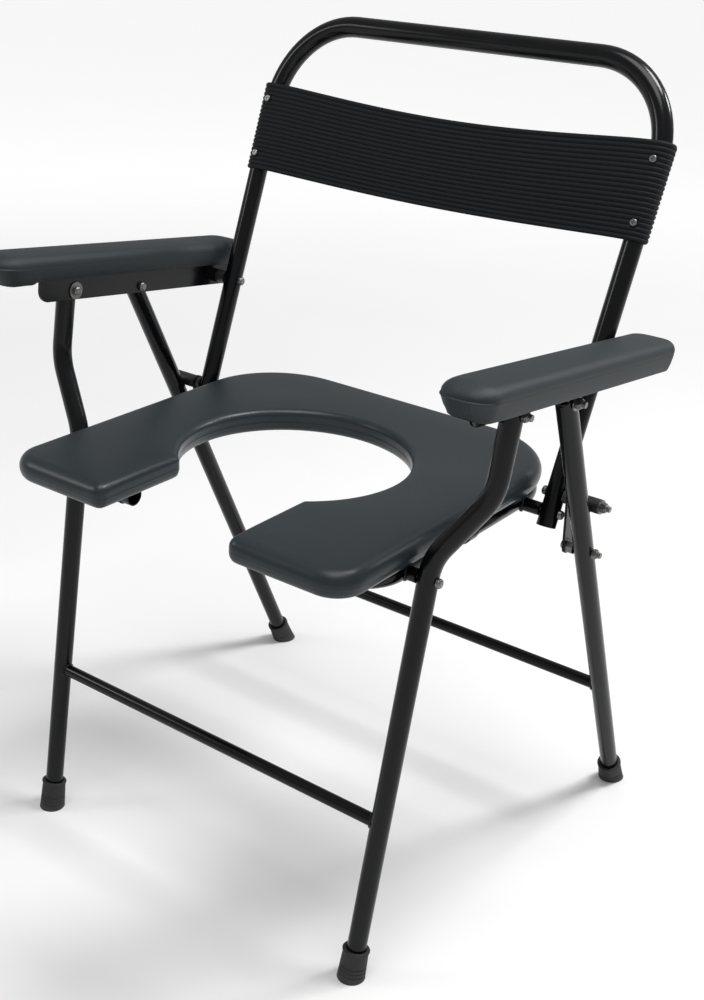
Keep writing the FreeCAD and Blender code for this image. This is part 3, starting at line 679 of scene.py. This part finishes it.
class CHAIR_OT_arm_pads(bpy.types.Operator):
    """Mould the two armrest pads"""
    bl_idname = "chair.arm_pads"
    bl_label = "Arm pads"

    def execute(self, context):
        sizes = context.scene.chair_arms
        for label, sign in SIDES.items():
            low, high = box_on("arm_pad_" + label, ARM)
            half = (high[0] - low[0]) / 2
            centre = (high[0] + low[0]) / 2
            front, rear = low[1], high[1]
            run = rounded_run([(centre, rear), (low[0], rear), (low[0], front), (high[0], front),
                               (high[0], rear), (centre, rear)],
                              [sizes.rear_corner, sizes.front_corner, sizes.front_corner,
                               sizes.rear_corner], MM)
            outline = softened(run[:-1], 1.5 * MM, 2.4 * MM)
            nose = np.clip(1 - (outline[:, 1] - front) / (1.6 * half), 0, 1) ** 2
            parting = low[2] + 0.5 * (high[2] - low[2])
            under = sizes.draft + sizes.nose_under * nose
            flash = sizes.flash * nose
            side = high[2] - sizes.top_round - sizes.crown
            side = side + (parting + 2 * MM - side) * nose
            behind = outline[:, 1] - front
            outer = np.clip(0.5 + sign * (outline[:, 0] - centre) / half, 0, 1)
            ahead = np.clip((2 * half - behind) / (0.3 * half), 0, 1)
            droop = sizes.nose_drop * np.clip(2.6 - 2 * behind / half, 0, 1)
            foot = low[2] - (sizes.skirt * np.maximum(outer, ahead) + droop)
            rim = 9 * MM * nose
            rows = [(7.8 * MM + rim, low[2]), (7.8 * MM + rim, foot + 0.5 * MM), (7.2 * MM + rim, foot),
                    (under + 2.4 * MM, foot), (under + 0.8 * MM, foot + 0.8 * MM),
                    (under, foot + 2.6 * MM), (under * 0.4, (foot + parting) / 2),
                    (0.15 * MM, parting - 1.6 * MM), (0.12 * MM - flash, parting - 0.4 * MM),
                    (-flash, parting), (0.12 * MM - flash, parting + 0.4 * MM),
                    (0.15 * MM, parting + 1.5 * MM), (0.06 * MM, (parting + 1.5 * MM + side) / 2)]
            rows += rolled(sizes.top_round + sizes.nose_fall * nose, side, high[2], sizes.crown, half, 9)
            moulded("arm_cushion_" + label, "arm_pad_" + label, outline, rows,
                    lambda far: high[2] - crowned(far, sizes.crown, half),
                    [sizes.top_round + extra * MM for extra in (2, 5)], 4.5 * MM, ARM, matt=1.0)
        return {"FINISHED"}


def through_nodes(obj, tree, slot, values):
    """Put a mesh through a geometry tree, with its finish, and keep the plain mesh that comes out."""
    modifier = obj.modifiers.new(tree.name, "NODES")
    modifier.node_group = tree
    sockets = {item.name: item.identifier for item in tree.interface.items_tree if item.in_out == "INPUT"}
    for name, value in {**values, "Finish": FINISH[slot]}.items():
        modifier[sockets[name]] = value
    made = bpy.data.meshes.new_from_object(obj.evaluated_get(bpy.context.evaluated_depsgraph_get()))
    obj.modifiers.clear()
    obj.data = made
    if not made.polygons:
        raise RuntimeError(tree.name + " made nothing for " + obj.name)


def tree_of(name, numbers):
    """An empty geometry tree, as a graph, and its inputs by name."""
    tree = bpy.data.node_groups.new(name, "GeometryNodeTree")
    for key, kind in {"Geometry": "Geometry", **numbers, "Finish": "Material"}.items():
        tree.interface.new_socket(name=key, in_out="INPUT", socket_type="NodeSocket" + kind)
    tree.interface.new_socket(name="Geometry", in_out="OUTPUT", socket_type="NodeSocketGeometry")
    graph = Graph(tree)
    source = tree.nodes.new("NodeGroupInput")
    return graph, {socket.name: Wire(graph, socket) for socket in source.outputs if socket.name}


def close_tree(graph, given, shape):
    """Realize, give the finish and end the tree."""
    real = graph.node("GeometryNodeRealizeInstances", sockets={0: shape})
    done = graph.node("GeometryNodeSetMaterial", sockets={"Geometry": real, "Material": given["Finish"]})
    graph.node("NodeGroupOutput", sockets={0: done})
    return graph.tree


def named(graph, name, kind="FLOAT"):
    return graph.node("GeometryNodeInputNamedAttribute", {"data_type": kind}, {"Name": name})


def rib_tree():
    """Ribs that stand out of both faces of a band, by how far up the band each point lies."""
    graph, given = tree_of("band_ribs", {"Ribs": "Float", "Rib height": "Float"})
    ridge = (named(graph, "rise") * given["Ribs"] * math.pi).math("SINE").math("ABSOLUTE") ** 0.62
    # How deep in a groove each point lies; the band's finish darkens it there as painted shade.
    groove = graph.node("GeometryNodeStoreNamedAttribute", {"data_type": "FLOAT", "domain": "POINT"},
                        {"Geometry": given["Geometry"], "Name": "groove", "Value": 1.0 - ridge})
    offset = graph.node("ShaderNodeVectorMath", {"operation": "SCALE"},
                        {0: graph.node("GeometryNodeInputNormal"),
                         "Scale": ridge * given["Rib height"] * named(graph, "grip")})
    moved = graph.node("GeometryNodeSetPosition", sockets={"Geometry": groove, "Offset": offset})
    return close_tree(graph, given, moved)


def thread_tree():
    """A helical ridge on each point, along the point's own aim."""
    graph, given = tree_of("bolt_threads", {"Radius": "Float", "Length": "Float", "Turns": "Float",
                                            "Ridge": "Float"})
    helix = graph.node("GeometryNodeCurveSpiral", sockets={
        "Resolution": 20, "Rotations": given["Turns"], "Start Radius": given["Radius"],
        "End Radius": given["Radius"], "Height": given["Length"]})
    section = graph.node("GeometryNodeCurvePrimitiveCircle", sockets={"Resolution": 4,
                                                                      "Radius": given["Ridge"]})
    ridge = graph.node("GeometryNodeCurveToMesh", sockets={"Curve": helix, "Profile Curve": section,
                                                           "Fill Caps": True})
    turn = graph.node("FunctionNodeAlignRotationToVector", {"axis": "Z"},
                      {"Vector": named(graph, "aim", "FLOAT_VECTOR")})
    placed = graph.node("GeometryNodeInstanceOnPoints", sockets={
        "Points": given["Geometry"], "Instance": ridge, "Rotation": turn})
    return close_tree(graph, given, placed)


def weld_tree():
    """Ripples of weld along closed lines, a little uneven."""
    graph, given = tree_of("weld_beads", {"Ripples": "Int", "Size": "Float"})
    line = graph.node("GeometryNodeMeshToCurve", sockets={"Mesh": given["Geometry"]})
    spread = graph.node("GeometryNodeResampleCurve", sockets={"Curve": line, "Count": given["Ripples"]})
    drop = graph.node("GeometryNodeMeshIcoSphere", sockets={"Radius": given["Size"], "Subdivisions": 2})
    uneven = graph.node("FunctionNodeRandomValue", {"data_type": "FLOAT"},
                        {2: 0.8, 3: 1.2, "Seed": 11}, out=1)
    placed = graph.node("GeometryNodeInstanceOnPoints", sockets={
        "Points": spread, "Instance": drop, "Scale": uneven})
    return close_tree(graph, given, placed)


class CHAIR_OT_back_band(bpy.types.Operator):
    """Wrap the ribbed band round the uprights"""
    bl_idname = "chair.back_band"
    bl_label = "Back band"

    def execute(self, context):
        sizes = context.scene.chair_band
        low, high = box_on("back_band", BACK)
        thickness = high[0] - UPRIGHT_X - TUBE_R
        reach = TUBE_R + thickness / 2
        shoulder = UPRIGHT_X - sizes.tail
        half = [(x, -reach + sizes.bow * (1 - (x / shoulder) ** 2)) for x in np.linspace(0, shoulder, 34)]
        half += [(x, -reach) for x in np.linspace(shoulder, UPRIGHT_X, 7)[1:]]
        half += [(UPRIGHT_X + reach * math.cos(a), reach * math.sin(a))
                 for a in np.linspace(-math.pi / 2, math.pi / 2, 17)[1:]]
        half += [(x, reach) for x in np.linspace(UPRIGHT_X, shoulder, 7)[1:]]
        path = np.array([(-x, r) for x, r in reversed(half[1:])] + half)
        along = np.gradient(path, axis=0)
        along /= np.linalg.norm(along, axis=1)[:, None]
        outward = np.stack((along[:, 1], -along[:, 0]), axis=1)

        rows = sizes.ribs * 8 + 1
        rise = np.linspace(0, 1, rows)
        hang = np.where(path[:, 1] < 0, np.clip(1 - (path[:, 0] / UPRIGHT_X) ** 2, 0, 1) ** 1.5, 0)
        sag = hang[:, None] * (sizes.sag_low + (sizes.sag_top - sizes.sag_low) * rise[None, :])
        trim = sizes.trim * np.clip(path[:, 1:] / reach, 0, 1)
        height = low[2] + trim + (high[2] - low[2] - 2 * trim) * rise[None, :] - sag
        screws = list(self.screws())
        layers, grips = [], []
        for sign in (1, -1):
            plan = path + outward * sign * sizes.web / 2
            layer = np.stack((np.broadcast_to(plan[:, :1], height.shape),
                              np.broadcast_to(plan[:, 1:], height.shape), height), axis=-1)
            near = np.full(height.shape, 1.0 if sign > 0 else 0.7)
            for x, s in screws:
                far = np.hypot(layer[..., 0] - x, layer[..., 2] - s)
                near -= 0.85 * np.exp(-(far / (5.2 * MM)) ** 4) * (layer[..., 1] < 0)
            layers.append(layer.reshape(-1, 3))
            grips.append(near.reshape(-1))
        columns, size = len(path), len(path) * rows
        faces = []
        for c in range(columns - 1):
            for r in range(rows - 1):
                a = c * rows + r
                faces.append((a, a + rows, a + rows + 1, a + 1))
                faces.append((size + a, size + a + 1, size + a + rows + 1, size + a + rows))
        for c in range(columns - 1):
            for r in (0, rows - 1):
                a, b = c * rows + r, (c + 1) * rows + r
                faces.append((a, b, size + b, size + a))
        for c in (0, columns - 1):
            for r in range(rows - 1):
                a = c * rows + r
                faces.append((a, a + 1, size + a + 1, size + a))
        band = piece("ribbed_band", carried(np.vstack(layers), BACK), faces, "back_band")
        store(band, "rise", np.tile(rise, 2 * columns))
        store(band, "grip", np.concatenate(grips))
        through_nodes(band, rib_tree(), "ribbed_band",
                      {"Ribs": float(sizes.ribs), "Rib height": sizes.rib_height})
        float(high[2] - low[2])
        return {"FINISHED"}

    def screws(self):
        """The band screws' places, across the back and up its slope."""
        inverse = BACK.inverted()
        heads = points_of("band_screws")
        for side in SIDES.values():
            own = [inverse @ Vector(p) for p in heads if p[0] * side > 0]
            middle_height = sum(p.z for p in own) / len(own)
            for group in ([p for p in own if p.z > middle_height], [p for p in own if p.z <= middle_height]):
                yield sum(p.x for p in group) / len(group), sum(p.z for p in group) / len(group)


class CHAIR_OT_threads(bpy.types.Operator):
    """Cut the threads on the bolts' ends"""
    bl_idname = "chair.threads"
    bl_label = "Threads"
    bolts = {"arm_pivot_bolts": ("arm_pivot_nuts", 1), "stop_bolts": ("stop_nuts", 1),
             "seat_pivot_bolts": ("seat_pivot_nuts", -1), "rear_leg_bolt_left": ("rear_leg_nut_left", 1),
             "rear_leg_bolt_right": ("rear_leg_nut_right", 1), "front_arm_bolts": ("front_arm_nuts", 1),
             "front_seat_bolts": ("front_seat_nuts", -1), "link_bolt_shanks": ("link_nuts", 1)}

    def execute(self, context):
        sizes = context.scene.chair_fixings
        tree = thread_tree()
        low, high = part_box("link_bolt_shanks")
        radius = (high.z - low.z) / 2
        starts = {}
        for bolt, (nut, outward) in self.bolts.items():
            for side in SIDES.values():
                shank, collar = points_of(bolt, side), points_of(nut, side)
                if len(shank):
                    ends = [abs(found[:, 0]).max() if outward > 0 else abs(found[:, 0]).min()
                            for found in (collar, shank)]
                    centre = middle(nut, side)
                    starts.setdefault(BODY_OF[bolt], []).append(
                        (Vector((side * ends[0], centre.y, centre.z)), Vector((side * outward, 0, 0)),
                         abs(ends[1] - ends[0])))
        for body, found in starts.items():
            places, aims, lengths = zip(*found)
            obj = new_object("threads_" + body, places)
            layer = obj.data.attributes.new("aim", "FLOAT_VECTOR", "POINT")
            layer.data.foreach_set("vector", np.array(aims, np.float32).ravel())
            length = min(lengths) - sizes.thread_ridge
            through_nodes(obj, tree, "zinc", {"Radius": radius - 0.15 * MM, "Length": length,
                                              "Ridge": sizes.thread_ridge,
                                              "Turns": length / sizes.thread_pitch})
            place_on(obj, "zinc", body)
        return {"FINISHED"}


def saddle(x_axis, toward, centre, along, radius, count=40):
    """Where a round bar of that radius, along X, meets the side of a tube, as a closed line of points."""
    along = Vector((0, along.y, along.z)).normalized()
    line = []
    for k in range(count):
        turn = 2 * math.pi * k / count
        place = Vector((0, centre.y + radius * math.cos(turn), centre.z + radius * math.sin(turn)))
        away = (place - Vector((0, centre.y, centre.z))).cross(along).length
        line.append((x_axis + toward * math.sqrt(TUBE_R ** 2 - min(away, TUBE_R) ** 2), place.y, place.z))
    return line


class CHAIR_OT_welds(bpy.types.Operator):
    """Lay the weld beads at the crossbars and the seat frame's lugs"""
    bl_idname = "chair.welds"
    bl_label = "Welds"

    def execute(self, context):
        sizes = context.scene.chair_fixings
        tree = weld_tree()
        lines = {"front_legs": [], "rear_legs": [], "seat": []}
        for end, label, side, foot, bar in legs():
            lines[end + "_legs"].append(saddle(foot.x, -side, bar, bar - foot, BAR_R))
        rail_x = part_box("seat_frame_rail_left")[1].x - TUBE_R
        lug = points_of("seat_lugs", 1)
        for ahead in (True, False):
            own = lug[(lug[:, 1] < 0) == ahead]
            centre = Vector((own.min(0) + own.max(0)) / 2)
            radius = (own[:, 1].max() - own[:, 1].min()) / 2
            for side in SIDES.values():
                lines["seat"].append(saddle(side * rail_x, side, centre, Vector((0, 1, 0)), radius))
        for body, loops in lines.items():
            places, edges = [], []
            for loop in loops:
                first = len(places)
                places += loop
                edges += [(first + k, first + (k + 1) % len(loop)) for k in range(len(loop))]
            obj = new_object("welds_" + body, places, edges)
            through_nodes(obj, tree, "black_enamel", {"Ripples": sizes.bead_count, "Size": sizes.bead_size})
            for face in obj.data.polygons:
                face.use_smooth = True
            place_on(obj, "black_enamel", body)
        return {"FINISHED"}


class CHAIR_OT_tips(bpy.types.Operator):
    """Turn the rubber tips of the legs"""
    bl_idname = "chair.tips"
    bl_label = "Rubber tips"

    def execute(self, context):
        groove = context.scene.chair_fixings.tip_groove
        for end, label, side, foot, bar in legs():
            node = "{}_tip_{}".format(end, label)
            self.turn(node, foot, Vector((foot.x, bar.y, bar.z)) - foot, groove)
        return {"FINISHED"}

    def turn(self, node, foot, axis, groove):
        """One tip: turned about its leg's axis, then cut flat where it stands."""
        axis = axis.normalized()
        places = points_of(node) - np.array(foot)
        rise = places @ np.array(axis)
        top = rise.max()
        widest = np.linalg.norm(places - rise[:, None] * np.array(axis), axis=1)
        wide, collar = widest.max() - 0.6 * MM, widest[rise > top - MM].max()
        neck = collar - 1.2 * MM

        def taper(share):
            return wide + (neck - wide) * share

        bore = TUBE_R + 0.05 * MM
        profile = [(taper(0) + MM, -8 * MM), (taper(0), 1.5 * MM)]
        for share in (0.16, 0.30, 0.44):
            at = share * top
            profile += [(taper(share), at - 1.1 * MM), (taper(share) - groove, at - 0.5 * MM),
                        (taper(share) - groove, at + 0.5 * MM), (taper(share), at + 1.1 * MM)]
        profile += [(taper(0.86), 0.86 * top), (neck + 0.2 * MM, 0.9 * top), (collar - 0.3 * MM, 0.92 * top),
                    (collar, 0.94 * top), (collar, 0.975 * top), (collar - 0.5 * MM, 0.995 * top),
                    (neck, top), (bore + 0.8 * MM, top), (bore, top - 0.8 * MM), (bore, 0.6 * top)]
        across = Vector((1, 0, 0))
        other = axis.cross(across)
        turns = [2 * math.pi * k / TIP_SIDES for k in range(TIP_SIDES)]
        mesh = bmesh.new()
        rings = []
        for radius, height in profile:
            rings.append([mesh.verts.new(foot + axis * height + across * radius * math.cos(turn)
                                         + other * radius * math.sin(turn)) for turn in turns])
        for lower, upper in zip(rings, rings[1:]):
            for k in range(TIP_SIDES):
                on = (k + 1) % TIP_SIDES
                mesh.faces.new((lower[k], lower[on], upper[on], upper[k]))
        mesh.faces.new(rings[-1])
        cut = bmesh.ops.bisect_plane(mesh, geom=mesh.verts[:] + mesh.edges[:] + mesh.faces[:], dist=1e-6,
                                     plane_co=(0, 0, 0), plane_no=(0, 0, 1), clear_inner=True)
        rim = [part for part in cut["geom_cut"] if isinstance(part, bmesh.types.BMEdge)]
        bmesh.ops.edgenet_fill(mesh, edges=rim)
        mesh.verts.index_update()
        places = [v.co.copy() for v in mesh.verts]
        faces = [[v.index for v in face.verts] for face in mesh.faces]
        mesh.free()
        piece("turned_" + node, places, faces, node)


class CHAIR_OT_stage(bpy.types.Operator):
    """Set the floor, the light and the camera"""
    bl_idname = "chair.stage"
    bl_label = "Stage"
    lamps = {"key": ((0.8, 0.8, 2.7), 0.8, 39.0), "fill": ((-1.8, -1.5, 1.7), 0.7, 8.0),
             "top": ((0.3, -0.5, 2.9), 1.5, 32.0), "rear": ((1.15, 1.7, 1.95), 0.45, 14.0)}
    aim = Vector((0, 0, 0.45))

    def execute(self, context):
        sizes = context.scene.chair_stage
        self.floor(sizes.floor_half)
        for name, (place, size, power) in self.lamps.items():
            lamp = bpy.data.lights.new(name, "AREA")
            lamp.shape, lamp.size, lamp.energy = "DISK", size, power
            obj = bpy.data.objects.new(name, lamp)
            obj.location = place
            obj.rotation_euler = (self.aim - Vector(place)).to_track_quat("-Z", "Y").to_euler()
            context.scene.collection.objects.link(obj)
        world = bpy.data.worlds.new("room")
        world.use_nodes = True
        sky = next(node for node in world.node_tree.nodes if node.type == "BACKGROUND")
        sky.inputs["Color"].default_value = shade(WHITE, 1.0)
        sky.inputs["Strength"].default_value = sizes.sky
        context.scene.world = world
        context.scene.view_settings.view_transform = "Standard"

        camera = bpy.data.cameras.new("camera")
        camera.lens, camera.sensor_width = sizes.lens, 36.0
        camera.shift_x, camera.shift_y = sizes.shift_x, sizes.shift_y
        camera.clip_start, camera.clip_end = 0.05, 90.0
        obj = bpy.data.objects.new("camera", camera)
        back = Vector((math.sin(sizes.azimuth) * math.cos(sizes.elevation),
                       -math.cos(sizes.azimuth) * math.cos(sizes.elevation), math.sin(sizes.elevation)))
        level = Vector((0, 0, 1)).cross(back).normalized()
        upright = back.cross(level)
        right = level * math.cos(sizes.roll) + upright * math.sin(sizes.roll)
        obj.matrix_world = Matrix((right, back.cross(right), back)).transposed().to_4x4()
        obj.location = sizes.camera_place
        context.scene.collection.objects.link(obj)
        context.scene.camera = obj
        return {"FINISHED"}

    def floor(self, half):
        """A pale floor, flat and plain, with a painted glow that makes it brighter far away."""
        corners = [(-half, -half, 0), (half, -half, 0), (half, half, 0), (-half, half, 0)]
        obj = new_object("floor", corners, faces=[(0, 1, 2, 3)])
        paint = Paint("pale_floor")
        tone = paint.noise(3.0, 4.0)
        far = paint.node("ShaderNodeVectorMath", {"operation": "LENGTH"}, {0: paint.place}, out="Value")
        # Painted light: the floor glows more the further it lies from the middle.
        glow = paint.blend(far.fade(0.4, 4.5), shade(WHITE, 0.0), shade(WHITE, 1.0))
        obj.data.materials.append(paint.finish({
            "Base Color": paint.blend(tone, shade(WHITE, 0.80), shade(WHITE, 0.84)), "Roughness": 0.75,
            "Emission Color": glow, "Emission Strength": 0.58, "Specular IOR Level": 0.1}))


OPERATORS = (CHAIR_OT_finishes, CHAIR_OT_seat_pad, CHAIR_OT_arm_pads, CHAIR_OT_back_band, CHAIR_OT_threads,
             CHAIR_OT_welds, CHAIR_OT_tips, CHAIR_OT_stage)


class CHAIR_PT_panel(bpy.types.Panel):
    """The chair's pieces, and what each is made from"""
    bl_idname = "CHAIR_PT_panel"
    bl_label = "Commode chair"
    bl_space_type = "VIEW_3D"
    bl_region_type = "UI"
    bl_category = "Chair"

    def draw(self, context):
        for operator in OPERATORS:
            self.layout.operator(operator.bl_idname)
        for name in GROUPS:
            box = self.layout.box()
            group = getattr(context.scene, name)
            for key in group.__annotations__:
                box.prop(group, key)


def register():
    for made in (*GROUPS.values(), *OPERATORS, CHAIR_PT_panel):
        bpy.utils.register_class(made)
    for name, group in GROUPS.items():
        setattr(bpy.types.Scene, name, PointerProperty(type=group))


def unregister():
    for name in GROUPS:
        delattr(bpy.types.Scene, name)
    for made in (CHAIR_PT_panel, *reversed(OPERATORS), *GROUPS.values()):
        bpy.utils.unregister_class(made)


def main():
    register()
    for operator in OPERATORS:
        group, name = operator.bl_idname.split(".")
        getattr(getattr(bpy.ops, group), name)()
    bpy.context.view_layer.update()


if __name__ == "__main__":
    main()
